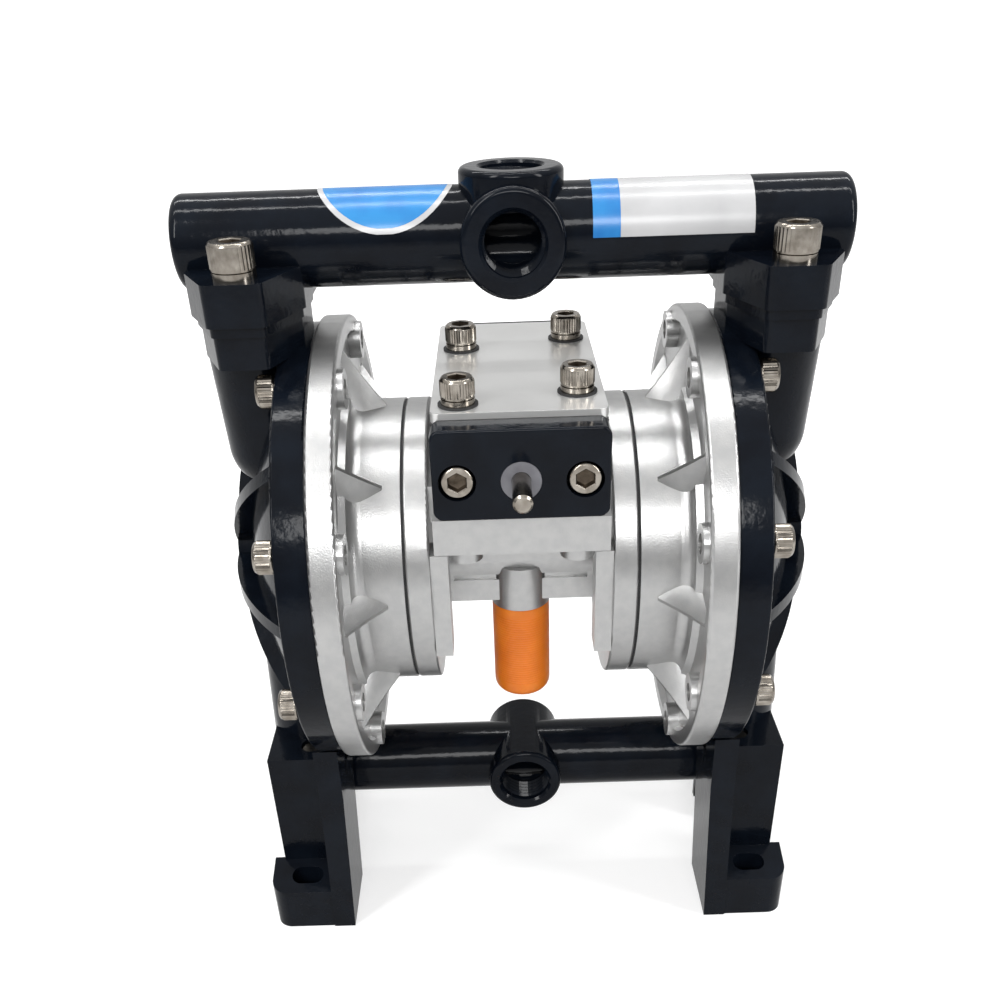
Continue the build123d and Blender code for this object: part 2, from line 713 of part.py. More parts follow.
with BuildPart() as fluid_chamber:
    with BuildSketch(side_view):
        with BuildLine():
            Polyline((clamp_x, 0), (dome_x, 0))
            TangentArc((dome_x, 0), (ring_x, dome_r), tangent=(0, 1))
            Polyline((ring_x, dome_r), (ring_x, ring_r), (clamp_x, ring_r), (clamp_x, 0))
        make_face()
    revolve(axis=shaft_axis)
    rims = fluid_chamber.edges().filter_by(GeomType.CIRCLE)
    fillet([e for e in rims if abs(e.radius - ring_r) < 0.01], 0.9)
    # Hub and ribs on the dome
    with BuildSketch(station(dome_x - 3)):
        Circle(hub_boss_r)
    extrude(amount=hub_boss_x - dome_x + 3)
    for k in range(dome_ribs):
        add(dome_rib.part.rotate(shaft_axis, 360 / dome_ribs * k))
    # Valve columns, flanges and their passages
    for up, low in ((1, top_flange_low), (-1, joint_up)):
        with BuildSketch(side_view):
            with BuildLine():
                Polyline((column_x, up * low), (column_x + column_top_r, up * low),
                         (column_x + column_low_r, up * column_end))
                ThreePointArc((column_x + column_low_r, up * column_end),
                              (column_x + column_low_r * 0.7071, up * (column_end - column_low_r * 0.7071)),
                              (column_x, up * (column_end - column_low_r)))
                Line((column_x, up * (column_end - column_low_r)), (column_x, up * low))
            make_face()
        revolve(axis=column_axis)
    with BuildSketch(level(top_flange_low)) as flange:
        with BuildLine():
            Polyline(*nosed_flange(2), close=True)
        make_face()
        fillet(flange.vertices(), 3)
    extrude(amount=joint_up - top_flange_low)
    with BuildSketch(level(-joint_up)):
        box(foot_flange_inner, block_outer, -block_half, block_half)
    extrude(amount=joint_up - foot_flange_top)
    # Pumping chamber, with the bead groove round its mouth
    with BuildSketch(side_view):
        with BuildLine():
            Polyline((clamp_x, 0), (clamp_x, bead_r + fit), (clamp_x + groove_x, bead_r + fit),
                     (clamp_x + groove_x, bead_in), (clamp_x + lip_x, bead_in),
                     (clamp_x + lip_x, cavity_r))
            TangentArc((dome_x - column_wall, 0), (clamp_x + lip_x, cavity_r), tangent=(0, 1))
            Line((dome_x - column_wall, 0), (clamp_x, 0))
        make_face()
    revolve(axis=shaft_axis, mode=Mode.SUBTRACT)
    for up, socket_l in ((1, seat_h), (-1, cage_h)):
        with BuildSketch(side_view):
            with BuildLine():
                Polyline((column_x, up * joint_up), (column_x + seat_r + fit, up * joint_up),
                         (column_x + seat_r + fit, up * (joint_up - socket_l)),
                         (column_x + bore_r, up * (joint_up - socket_l)),
                         (column_x + bore_r, up * column_end))
                ThreePointArc((column_x + bore_r, up * column_end),
                              (column_x + bore_r * 0.7071, up * (column_end - bore_r * 0.7071)),
                              (column_x, up * (column_end - bore_r)))
                Line((column_x, up * (column_end - bore_r)), (column_x, up * joint_up))
            make_face()
        revolve(axis=column_axis, mode=Mode.SUBTRACT)
    for z, y, depth in ((joint_up, flange_bolt_y, -joint_up + top_flange_low),
                        (-joint_up, foot_bolt_y, joint_up - foot_flange_top)):
        with BuildSketch(level(z)):
            with Locations((column_x, -y), (column_x, y)):
                Circle(m8_r + running)
        extrude(amount=depth, mode=Mode.SUBTRACT)
    with BuildSketch(station(clamp_x)):
        with PolarLocations(bolt_circle_r, rim_bolts, start_angle=180 / rim_bolts):
            Circle(m6_r + 0.3)
    extrude(amount=ring_t, mode=Mode.SUBTRACT)
    with BuildSketch(station(ring_x)):
        with PolarLocations(bolt_circle_r, rim_bolts, start_angle=180 / rim_bolts):
            Circle(m6_head_r + 0.6)
    extrude(amount=m6_head_h + 1, mode=Mode.SUBTRACT)
save_pair(fluid_chamber.part, "fluid_chamber")

rim_turns = [2 * pi * (k + 0.5) / rim_bolts for k in range(rim_bolts)]
rim_places = [(bolt_circle_r * cos(turn), bolt_circle_r * sin(turn)) for turn in rim_turns]
rim_bolt_l = 18.5
save_pair(screws(station(ring_x), rim_places, m6_head_r, m6_head_h, m6_r, rim_bolt_l, m6_hex),
          "rim_bolts")

# --- Check valves -----------------------------------------------------------------------
cage_guides = 4


def valve_seat(top):
    """Seat ring with its rim at a height over the shaft."""
    with BuildPart() as seat_ring:
        with BuildSketch(side_view):
            with BuildLine():
                Polyline((column_x + seat_bore_r, top), (column_x + seat_r, top),
                         (column_x + seat_r, top - seat_h), (column_x + seat_bore_r + 1, top - seat_h),
                         (column_x + seat_bore_r, top - seat_h + 1), close=True)
            make_face()
        revolve(axis=column_axis)
    return seat_ring.part


def ball_cage(low):
    """Cage standing on the seat: ring, guide ribs and a roof of spokes."""
    with BuildPart() as cage:
        with BuildSketch(level(low)):
            with Locations((column_x, 0)):
                Circle(seat_r)
                Circle(cage_bore_r, mode=Mode.SUBTRACT)
        extrude(amount=cage_h)
        with BuildSketch(level(low + 1)):
            with Locations((column_x, 0)):
                with PolarLocations((cage_bore_r + cage_guide_r) / 2 + 0.2, cage_guides, start_angle=45):
                    Rectangle(cage_bore_r - cage_guide_r + 0.4, 2)
        extrude(amount=cage_h - 1)
        with BuildSketch(level(low + cage_h - cage_roof)):
            with Locations((column_x, 0)):
                Circle(3.5)
                with PolarLocations(0, cage_guides, start_angle=45):
                    Rectangle(2 * cage_bore_r + 0.6, 2)
        extrude(amount=cage_roof)
    return cage.part


def ball(low):
    """Ball resting on a seat whose rim is at a height over the shaft."""
    with BuildPart() as sphere:
        with Locations((column_x, 0, shaft_z + low + seat_edge + 0.02)):
            Sphere(ball_r)
    return sphere.part


for line, top in (("discharge", joint_up), ("suction", -joint_up)):
    save_pair(valve_seat(top), f"{line}_seat")
    save_pair(ball_cage(top), f"{line}_cage")
    save_pair(ball(top), f"{line}_ball")

# --- Manifolds --------------------------------------------------------------------------
step_h = 3.0
o_groove_w = 1.7
o_groove_d = 1.5
pipe_end = 7.0


def pipe_plane(x, z):
    """Plane across a manifold pipe, extruding towards +X."""
    return Plane(origin=(x, 0, z), x_dir=(0, 1, 0), z_dir=(1, 0, 0))


def port_plane(y, z, outward):
    """Plane across a port that opens towards +Y or -Y."""
    return Plane(origin=(0, y, z), x_dir=(1, 0, 0), z_dir=(0, outward, 0))


def port(plane, depth):
    """The space inside a threaded port: chamfered mouth, tapped bore and narrower passage."""
    with BuildPart() as space:
        with BuildSketch(plane):
            Circle(port_neck_r)
        extrude(amount=-depth)
        with BuildSketch(plane):
            Circle(port_r)
        extrude(amount=-port_l)
        with BuildSketch(plane):
            Circle(port_r + port_chamfer)
        extrude(amount=-port_chamfer, taper=45)
    return space.part


with BuildPart() as discharge_manifold:
    with BuildSketch(pipe_plane(-discharge_half, discharge_z)):
        Circle(discharge_r)
    extrude(amount=2 * discharge_half)
    fillet(discharge_manifold.edges().filter_by(GeomType.CIRCLE), 2.8)
    with Locations((0, 0, discharge_z)):
        Sphere(port_boss_r)
    with BuildSketch(port_plane(0, discharge_z, -1)):
        Circle(port_boss_r)
    extrude(amount=discharge_front)
    with BuildSketch(Plane.XY.offset(discharge_z)):
        Circle(port_boss_r)
    extrude(amount=discharge_top)
    mouths = [discharge_manifold.faces().sort_by(Axis.Y)[0], discharge_manifold.faces().sort_by(Axis.Z)[-1]]
    fillet([face.edges()[0] for face in mouths], 1.8)
    with BuildSketch(level(joint_up + step_h)) as flange:
        with BuildLine():
            Polyline(*nosed_flange(0), close=True)
        make_face()
        fillet(flange.vertices(), 3)
    extrude(amount=top_flange_high - joint_up - step_h)
    with BuildSketch(level(joint_up)) as flange:
        with BuildLine():
            Polyline(*nosed_flange(1.2), close=True)
        make_face()
        fillet(flange.vertices(), 3)
    extrude(amount=step_h)
    with BuildSketch(level(joint_up)):
        with Locations((column_x, 0)):
            Circle(seat_r + fit)
    extrude(amount=cage_h + fit, mode=Mode.SUBTRACT)
    with BuildSketch(level(joint_up)):
        with Locations((column_x, 0)):
            Circle(o_ring_r + o_groove_w / 2)
            Circle(o_ring_r - o_groove_w / 2, mode=Mode.SUBTRACT)
    extrude(amount=o_groove_d, mode=Mode.SUBTRACT)
    with BuildSketch(level(joint_up)):
        with Locations((column_x, -flange_bolt_y), (column_x, flange_bolt_y)):
            Circle(m8_r + 0.4)
    extrude(amount=top_flange_high - joint_up, mode=Mode.SUBTRACT)
    split(bisect_by=Plane.YZ)
    mirror(about=Plane.YZ)
    with BuildSketch(pipe_plane(-discharge_half + pipe_end, discharge_z)):
        Circle(bore_r)
    extrude(amount=2 * (discharge_half - pipe_end), mode=Mode.SUBTRACT)
    add(port(port_plane(-discharge_front, discharge_z, -1), discharge_front), mode=Mode.SUBTRACT)
    add(port(Plane.XY.offset(discharge_z + discharge_top), discharge_top), mode=Mode.SUBTRACT)
save(discharge_manifold.part, "discharge_manifold")

waist_up = waist_z - shaft_z
web_top = -sqrt((ring_r + 0.5) ** 2 - web_front ** 2) + 3
with BuildPart() as suction_manifold:
    with BuildSketch(pipe_plane(0, suction_z)):
        Circle(suction_r)
    extrude(amount=block_low_inner + 3)
    # Block under the column, with a leg at the front and one at the rear
    with BuildSketch(Plane.XZ):
        with BuildLine():
            Polyline((block_low_inner, waist_z), (block_outer, waist_z), (block_outer, suction_joint),
                     (block_inner, suction_joint), close=True)
        make_face()
    extrude(amount=block_half, both=True)
    with BuildSketch(Plane.XY):
        box(front_leg_inner, block_outer, -block_half, -arch_half)
        box(rear_leg_inner, block_outer, arch_half, block_half)
    extrude(amount=waist_z)
    with BuildSketch(Plane.YZ.offset(rear_leg_inner)):
        box(-arch_half, arch_half, arch_top - arch_half, waist_z)
        with Locations((0, arch_top - arch_half)):
            Circle(arch_half, mode=Mode.SUBTRACT)
    extrude(amount=block_outer - rear_leg_inner)
    # Gusset from the front foot up to the rim of the fluid chamber
    with BuildSketch(Plane.XZ.offset(web_back)):
        with BuildLine():
            Polyline((web_foot_inner, 0), (web_foot_inner + 8, 0), (web_outer, suction_joint),
                     (web_inner, suction_joint), close=True)
        make_face()
    extrude(amount=web_front - web_back)
    with BuildSketch(Plane.XZ.offset(block_half + 0.4)):
        box(web_inner, web_outer, suction_joint - 1, shaft_z + web_top)
    extrude(amount=web_front - block_half - 0.4)
    with BuildSketch(station(web_inner - 1)):
        Circle(ring_r + 0.5)
    extrude(amount=web_outer - web_inner + 2, mode=Mode.SUBTRACT)
    # Bolting lugs, front and rear
    for outward, inner in ((-1, web_foot_inner), (1, rear_lug_inner)):
        with BuildSketch(Plane.YZ.offset(inner)):
            with BuildLine():
                Polyline((outward * (block_half - 1), 0), (outward * lug_reach, 0),
                         (outward * lug_reach, lug_front_h), (outward * (block_half - 1), lug_back_h),
                         close=True)
            make_face()
        extrude(amount=lug_outer - inner)
        upright = suction_manifold.edges().filter_by(Axis.Z).group_by(Axis.X)[-1]
        corner = upright.sort_by(Axis.Y)[0 if outward < 0 else -1]
        fillet(corner, lug_corner)
    with BuildSketch(Plane.XY):
        with Locations((slot_x, -slot_y), (slot_x, slot_y)):
            SlotOverall(slot_l, 2 * slot_r)
    extrude(amount=lug_back_h, mode=Mode.SUBTRACT)
    # Seat socket, seal groove and passage down to the pipe
    with BuildSketch(Plane.XY.offset(suction_joint)):
        with Locations((column_x, 0)):
            Circle(seat_r + fit)
    extrude(amount=-seat_h - fit, mode=Mode.SUBTRACT)
    with BuildSketch(Plane.XY.offset(suction_joint)):
        with Locations((column_x, 0)):
            Circle(o_ring_r + o_groove_w / 2)
            Circle(o_ring_r - o_groove_w / 2, mode=Mode.SUBTRACT)
    extrude(amount=-o_groove_d, mode=Mode.SUBTRACT)
    with BuildSketch(Plane.XY.offset(suction_z)):
        with Locations((column_x, 0)):
            Circle(bore_r)
    extrude(amount=suction_joint - suction_z, mode=Mode.SUBTRACT)
    # Foot bolts rise from pockets in the feet
    with BuildSketch(Plane.XY):
        with Locations((column_x, -foot_bolt_y), (column_x, foot_bolt_y)):
            Circle(m8_head_r + 0.3)
    extrude(amount=foot_bolt_head, mode=Mode.SUBTRACT)
    with BuildSketch(Plane.XY):
        with Locations((column_x, -foot_bolt_y), (column_x, foot_bolt_y)):
            Circle(m8_r + 0.4)
    extrude(amount=suction_joint, mode=Mode.SUBTRACT)
    mirror(about=Plane.YZ)
    with BuildSketch(port_plane(-suction_front, suction_z, 1)):
        Circle(suction_boss_r)
    extrude(amount=2 * suction_front)
    ends = suction_manifold.faces().filter_by(Axis.Y)
    ends = [face for face in ends if abs(face.center().X) < 1 and abs(face.center().Z - suction_z) < 1]
    fillet([face.edges()[0] for face in ends], 1.8)
    with BuildSketch(pipe_plane(-column_x, suction_z)):
        Circle(bore_r)
    extrude(amount=2 * column_x, mode=Mode.SUBTRACT)
    for outward in (-1, 1):
        add(port(port_plane(outward * suction_front, suction_z, outward), suction_front),
            mode=Mode.SUBTRACT)
save(suction_manifold.part, "suction_manifold")

with BuildPart() as manifold_seals:
    for z in (discharge_joint + o_ring_t / 2, suction_joint - o_ring_t / 2):
        with Locations((-column_x, 0, z), (column_x, 0, z)):
            Torus(o_ring_r, o_ring_t / 2)
save(manifold_seals.part, "manifold_seals")

top_bolts = [(x, y) for x in (-column_x, column_x) for y in (-flange_bolt_y, flange_bolt_y)]
top_bolt_l = top_flange_high - top_flange_low - 1
save(spring_washers(level(top_flange_high), top_bolts, m8_r + 0.2, m8_head_r - 0.2, spring_washer_8),
     "manifold_washers")
save(screws(level(top_flange_high + spring_washer_8), top_bolts, m8_head_r, m8_head_h, m8_r,
            top_bolt_l + spring_washer_8, m8_hex), "manifold_bolts")

foot_bolts = [(x, y) for x in (-column_x, column_x) for y in (-foot_bolt_y, foot_bolt_y)]
under = Plane(origin=(0, 0, foot_bolt_head), x_dir=(1, 0, 0), z_dir=(0, 0, -1))
foot_bolt_l = suction_joint - foot_bolt_head + joint_up - foot_flange_top - 1
save(spring_washers(under, foot_bolts, m8_r + 0.2, m8_head_r - 0.2, spring_washer_8), "foot_washers")
save(screws(under.offset(spring_washer_8), foot_bolts, m8_head_r, m8_head_h, m8_r,
            foot_bolt_l + spring_washer_8, m8_hex), "foot_bolts")
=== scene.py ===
# %% [markdown]
# # An air operated diaphragm pump
# Two rubber diaphragms on one shaft push fluid out of one chamber while the other fills. The
# castings and screws come ready measured from the CAD model, so this lesson gives every piece its
# real finish, then adds what a measured solid leaves out: knurled screw heads, pipe threads, the
# ringed silencer, soft casting edges and two plain stickers on the upper pipe.

import json
import math

import bmesh
import bpy
from mathutils import Matrix, Vector


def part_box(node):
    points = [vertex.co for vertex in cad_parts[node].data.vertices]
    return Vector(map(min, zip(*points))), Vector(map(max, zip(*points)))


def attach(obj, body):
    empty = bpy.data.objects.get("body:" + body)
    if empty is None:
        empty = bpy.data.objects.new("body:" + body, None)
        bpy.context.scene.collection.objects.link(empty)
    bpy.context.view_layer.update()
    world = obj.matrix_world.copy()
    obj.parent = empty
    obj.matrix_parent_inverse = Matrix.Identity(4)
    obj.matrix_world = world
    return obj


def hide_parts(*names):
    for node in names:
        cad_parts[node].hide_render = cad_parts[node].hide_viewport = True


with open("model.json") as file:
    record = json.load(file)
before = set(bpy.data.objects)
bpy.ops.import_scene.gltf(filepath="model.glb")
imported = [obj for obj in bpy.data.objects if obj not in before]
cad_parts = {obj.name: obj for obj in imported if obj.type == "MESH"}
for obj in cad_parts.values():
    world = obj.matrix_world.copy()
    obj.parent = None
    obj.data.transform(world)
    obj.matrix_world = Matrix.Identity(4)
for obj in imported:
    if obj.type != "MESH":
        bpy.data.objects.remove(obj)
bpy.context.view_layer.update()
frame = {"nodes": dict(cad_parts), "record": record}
nodes = frame["nodes"]
mm = 0.001

# %% [markdown]
# ## Finishes
# Every finish starts from the Principled shader. Real surfaces are never one even colour, so a
# noise texture mixes two close colours, and on some a second one raises a fine grain. Both read
# object coordinates, which are metres here, so a scale of 1000 gives grains about a millimetre
# across.

# %% A shader with mottled colour
def finish(name, dark, light, mottle, metallic=0.0, roughness=0.4):
    """A material whose colour wanders between two close tones."""
    material = bpy.data.materials.new(name)
    material.use_nodes = True
    tree = material.node_tree
    shader = tree.nodes["Principled BSDF"]
    shader.inputs["Metallic"].default_value = metallic
    shader.inputs["Roughness"].default_value = roughness
    place = tree.nodes.new("ShaderNodeTexCoord")
    cloud = tree.nodes.new("ShaderNodeTexNoise")
    cloud.inputs["Scale"].default_value = mottle
    cloud.inputs["Detail"].default_value = 4.0
    tones = tree.nodes.new("ShaderNodeValToRGB")
    tones.color_ramp.elements[0].position = 0.35
    tones.color_ramp.elements[0].color = (*dark, 1.0)
    tones.color_ramp.elements[1].position = 0.65
    tones.color_ramp.elements[1].color = (*light, 1.0)
    tree.links.new(place.outputs["Object"], cloud.inputs["Vector"])
    tree.links.new(cloud.outputs["Fac"], tones.inputs["Fac"])
    tree.links.new(tones.outputs["Color"], shader.inputs["Base Color"])
    material.diffuse_color = (*light, 1.0)
    return material


# %% [markdown]
# A bump node tilts the light without moving the surface. It suits grain shallower than a tenth of
# a millimetre, such as blasted metal, where real geometry would need millions of faces.

# %% Fine grain
def add_grain(material, size, depth, strength=1.0):
    """Raises grain of about this size and depth, both in metres."""
    tree = material.node_tree
    shader = tree.nodes["Principled BSDF"]
    place = tree.nodes.new("ShaderNodeTexCoord")
    grain = tree.nodes.new("ShaderNodeTexNoise")
    grain.inputs["Scale"].default_value = 1.0 / size
    grain.inputs["Detail"].default_value = 2.0
    bump = tree.nodes.new("ShaderNodeBump")
    bump.inputs["Strength"].default_value = strength
    bump.inputs["Distance"].default_value = depth
    tree.links.new(place.outputs["Object"], grain.inputs["Vector"])
    tree.links.new(grain.outputs["Fac"], bump.inputs["Height"])
    tree.links.new(bump.outputs["Normal"], shader.inputs["Normal"])
    return material


# %% [markdown]
# ## Gloss black paint
# The manifolds, fluid chambers and end caps are aluminium castings under thick blue-black paint.
# The colour is nearly black, the gloss comes from low roughness, and a slow ripple of a few
# millimetres gives the slightly uneven reflections of sprayed paint. A low specular level keeps the
# white studio from turning it grey.

# %% Black paint
black_paint = finish("gloss_black_paint", (0.0025, 0.0035, 0.006), (0.004, 0.006, 0.010), 90, roughness=0.12)
black_paint.node_tree.nodes["Principled BSDF"].inputs["Specular IOR Level"].default_value = 0.12
add_grain(black_paint, 2.6 * mm, 0.16 * mm, 0.4)
print("made", black_paint.name)

# %% [markdown]
# ## Bare metals
# The air side is bare aluminium, blasted to an even satin. Screws are bright nickel plate, and
# hidden bushes are bronze. The walls and floor of the screw sockets get a dark brown material,
# which is painted shade for the deep hexagon. Metals have no colour of their own beyond the tint
# of what they reflect, so roughness does most of the work.

# %% Castings, plates and screws
cast_silver = finish("blasted_aluminium", (0.43, 0.43, 0.43), (0.47, 0.47, 0.465), 300, 0.92, 0.32)
add_grain(cast_silver, 0.45 * mm, 0.09 * mm, 0.5)
plate_silver = finish("satin_plate", (0.70, 0.70, 0.69), (0.75, 0.75, 0.74), 40, 0.70, 0.28)
add_grain(plate_silver, 0.30 * mm, 0.02 * mm, 0.3)
bright_steel = finish("nickel_plate", (0.22, 0.195, 0.165), (0.36, 0.33, 0.29), 300, 1.0, 0.20)
add_grain(bright_steel, 0.4 * mm, 0.01 * mm, 0.3)
# Dark brown for the inside of the screw sockets: painted shade for the deep hexagon.
socket_painted_shade = finish("socket_painted_shade", (0.07, 0.055, 0.04), (0.16, 0.13, 0.10), 400, 1.0, 0.45)
bronze = finish("turned_bronze", (0.42, 0.27, 0.10), (0.55, 0.38, 0.16), 200, 1.0, 0.35)
metals = (cast_silver, plate_silver, bright_steel, socket_painted_shade, bronze)
print("made", [metal.name for metal in metals])

# %% [markdown]
# ## Plastics and rubber
# The silencer is orange moulded plastic, a little translucent in life, so it gets a trace of
# subsurface light. Gaskets and diaphragms are dark rubber, and seats and cages grey plastic.

# %% Plastics and rubber
orange_plastic = finish("orange_plastic", (0.86, 0.205, 0.010), (0.94, 0.245, 0.015), 120, roughness=0.42)
orange_inputs = orange_plastic.node_tree.nodes["Principled BSDF"].inputs
orange_inputs["Subsurface Weight"].default_value = 0.12
orange_inputs["Subsurface Scale"].default_value = 1.5 * mm
grey_plastic = finish("grey_plastic", (0.10, 0.10, 0.115), (0.15, 0.15, 0.165), 150, roughness=0.5)
rubber = finish("sheet_rubber", (0.008, 0.008, 0.009), (0.016, 0.016, 0.017), 250, roughness=0.7)
elastomer = finish("moulded_rubber", (0.035, 0.032, 0.03), (0.055, 0.05, 0.046), 150, roughness=0.55)
print("made", [material.name for material in (orange_plastic, grey_plastic, rubber, elastomer)])

# %% [markdown]
# The record of the part names a finish for each node. A dictionary from those names to the
# materials above dresses every node in one loop, and a node added later is dressed too.

# %% Dress every node
finishes = {
    "black_paint": black_paint,
    "cast_silver": cast_silver,
    "aluminium_plate": plate_silver,
    "bright_steel": bright_steel,
    "silencer_plastic": orange_plastic,
    "moulded_plastic": grey_plastic,
    "gasket_rubber": rubber,
    "elastomer": elastomer,
    "bronze": bronze,
}
slot_of = {entry["node"]: entry["material_slot"] for entry in frame["record"]["subparts"]}
for name, node in nodes.items():
    node.data.materials.clear()
    node.data.materials.append(finishes[slot_of[name]])
print("dressed", len(nodes), "nodes in", len(set(slot_of.values())), "finishes")

# %% [markdown]
# ## Soft casting edges
# Nothing cast or painted has a knife edge. The solids arrive with split seams, so a Weld modifier
# joins them first, a Bevel modifier rounds every edge sharper than the angle limit, and Weighted
# Normal keeps the flats flat. Modifiers leave the measured mesh itself unchanged. The air chambers
# are left out. Their rims are rounded in the measured shape already.

# %% Round the edges
def soften(node, radius, angle=40):
    """Rounds the sharp edges of a node by a radius in metres."""
    weld = node.modifiers.new("join seams", "WELD")
    weld.merge_threshold = 0.002 * mm
    bevel = node.modifiers.new("soft edges", "BEVEL")
    bevel.width = radius
    bevel.segments = 3
    bevel.limit_method = "ANGLE"
    bevel.angle_limit = math.radians(angle)
    bevel.use_clamp_overlap = True
    bevel.harden_normals = False
    normals = node.modifiers.new("even shading", "WEIGHTED_NORMAL")
    normals.keep_sharp = False
    node.data.shade_smooth()


soft_edges = {
    "fluid_chamber_left": 0.7, "fluid_chamber_right": 0.7,
    "discharge_manifold": 0.8, "suction_manifold": 0.9,
    "centre_flange_left": 0.35, "centre_flange_right": 0.35,
    "centre_body": 0.4, "top_plate": 0.25,
    "front_end_cap": 0.3, "rear_end_cap": 0.3,
}
for name, radius in soft_edges.items():
    soften(nodes[name], radius * mm)
print("softened", len(soft_edges), "castings")

# %% [markdown]
# ## Turned pieces
# Screws, the silencer and threads all come from one idea: rings of points stacked along an axis
# and joined by faces. A ring's radius may be a number, or a rule that gives a radius for each
# direction, which is all a knurl or a hexagon needs.

# %% Stack rings into a mesh
ring_points = 72


def stack_rings(name, rings, material):
    """A closed mesh through rings given as (radius or rule, height), lowest first."""
    mesh = bmesh.new()
    loops = []
    for radius, height in rings:
        loop = []
        for k in range(ring_points):
            turn = 2 * math.pi * k / ring_points
            reach = radius(turn) if callable(radius) else radius
            loop.append(mesh.verts.new((reach * math.cos(turn), reach * math.sin(turn), height)))
        loops.append(loop)
    for below, above in zip(loops, loops[1:]):
        for k in range(ring_points):
            after = (k + 1) % ring_points
            mesh.faces.new((below[k], below[after], above[after], above[k]))
    mesh.faces.new(list(reversed(loops[0])))
    mesh.faces.new(loops[-1])
    bmesh.ops.recalc_face_normals(mesh, faces=mesh.faces)
    data = bpy.data.meshes.new(name)
    mesh.to_mesh(data)
    mesh.free()
    data.materials.append(material)
    piece = bpy.data.objects.new(name, data)
    bpy.context.scene.collection.objects.link(piece)
    return piece


# %% [markdown]
# Sharp corners and smooth flanks sit side by side on a screw head. Shading by angle keeps the
# corners crisp and blends the rest.

# %% Shade by angle
def shade(piece, angle=30):
    """Smooth shading, with edges sharper than the angle left crisp."""
    data = piece.data
    data.shade_smooth()
    mesh = bmesh.new()
    mesh.from_mesh(data)
    for edge in mesh.edges:
        if len(edge.link_faces) == 2 and edge.calc_face_angle() > math.radians(angle):
            edge.smooth = False
    mesh.to_mesh(data)
    mesh.free()


# %% [markdown]
# ## Socket head screws
# A cap screw has a knurled side, a chamfered rim and a hexagon socket. The knurl is a rule that
# drops the radius at every second point. The shank grows from under the head, and the walls and
# floor of the socket get a darker material, painted shade for the deep hexagon.

# %% A socket head screw
def hexagon(across):
    """Rule for a hexagon this wide across its flats."""
    def reach(turn):
        within = (turn + math.pi / 6) % (math.pi / 3) - math.pi / 6
        return across / 2 / math.cos(within)
    return reach


def knurl(radius, depth):
    """Rule for a straight knurl on a round side."""
    def reach(turn):
        tooth = round(turn / (2 * math.pi) * ring_points) % 2
        return radius - depth * tooth
    return reach


def socket_screw(name, radius, height, across, shank_radius, shank_length):
    """A socket head cap screw standing on z = 0, shank below."""
    side = knurl(radius, 0.28 * mm)
    rim = radius - 0.55 * mm
    rings = [
        (shank_radius - 0.3 * mm, -shank_length),
        (shank_radius, -shank_length + 0.4 * mm),
        (shank_radius, 0.0),
        (radius - 0.5 * mm, 0.0),
        (radius - 0.15 * mm, 0.35 * mm),
        (radius - 0.15 * mm, 0.7 * mm),
        (side, 0.95 * mm),
        (side, height - 1.1 * mm),
        (radius - 0.15 * mm, height - 0.85 * mm),
        (rim, height - 0.15 * mm),
        (rim - 0.25 * mm, height),
        (hexagon(across + 0.5 * mm), height),
        (hexagon(across), height - 0.3 * mm),
        (hexagon(across), height * 0.5),
        (across * 0.12, height * 0.5 - 0.6 * mm),
    ]
    piece = stack_rings(name, rings, bright_steel)
    piece.data.materials.append(socket_painted_shade)
    # Faces inside the socket take the second material, the painted shade.
    socket_top, socket_reach = height - 0.6 * mm, across * 0.62
    for face in piece.data.polygons:
        if 0 < face.center.z < socket_top and face.center.xy.length < socket_reach:
            face.material_index = 1
    shade(piece)
    return piece


# %% [markdown]
# The frame holds each set of screws as one node. Joining its seams and walking along its edges
# splits it into single screws, and each one's box gives its place, its width and its direction.

# %% Find the single solids of a node
def solids_in(node):
    """Lowest and highest corners of each separate solid in a node."""
    mesh = bmesh.new()
    mesh.from_mesh(node.data)
    bmesh.ops.remove_doubles(mesh, verts=mesh.verts, dist=0.002 * mm)
    waiting = set(mesh.verts)
    boxes = []
    while waiting:
        edge_of_search = [waiting.pop()]
        found = list(edge_of_search)
        while edge_of_search:
            vertex = edge_of_search.pop()
            for edge in vertex.link_edges:
                other = edge.other_vert(vertex)
                if other in waiting:
                    waiting.remove(other)
                    edge_of_search.append(other)
                    found.append(other)
        low = Vector([min(v.co[i] for v in found) for i in range(3)])
        high = Vector([max(v.co[i] for v in found) for i in range(3)])
        boxes.append((low, high))
    mesh.free()
    return sorted(boxes, key=lambda box: tuple(round(v, 4) for v in box[0]))


# %% [markdown]
# A screw is made for each place and joined to the others, because joined screws are one piece
# that can stand for the whole node.

# %% Put screws in place
def place_screws(node_name, outward, head_height, across, shank_radius):
    """Replaces a node of screws by knurled ones whose heads face outward."""
    outward = Vector(outward)
    axis = max(range(3), key=lambda i: abs(outward[i]))
    turn = Vector((0, 0, 1)).rotation_difference(outward).to_matrix().to_4x4()
    joined = bmesh.new()
    boxes = solids_in(nodes[node_name])
    for low, high in boxes:
        across_axis = (axis + 1) % 3
        radius = (high[across_axis] - low[across_axis]) / 2
        top = (low + high) / 2
        top[axis] = high[axis] if outward[axis] > 0 else low[axis]
        length = high[axis] - low[axis]
        screw = socket_screw("one_screw", radius, head_height, across, shank_radius, length - head_height)
        seat = top - outward * head_height
        screw.data.transform(Matrix.Translation(seat) @ turn)
        joined.from_mesh(screw.data)
        bpy.data.objects.remove(screw)
    data = bpy.data.meshes.new(node_name + "_knurled")
    joined.to_mesh(data)
    joined.free()
    data.materials.append(bright_steel)
    # The second material is the painted shade inside the sockets.
    data.materials.append(socket_painted_shade)
    piece = bpy.data.objects.new(node_name + "_knurled", data)
    bpy.context.scene.collection.objects.link(piece)
    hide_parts(node_name)
    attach(piece, "pump")
    print(node_name, "->", len(boxes), "knurled screws")
    return piece


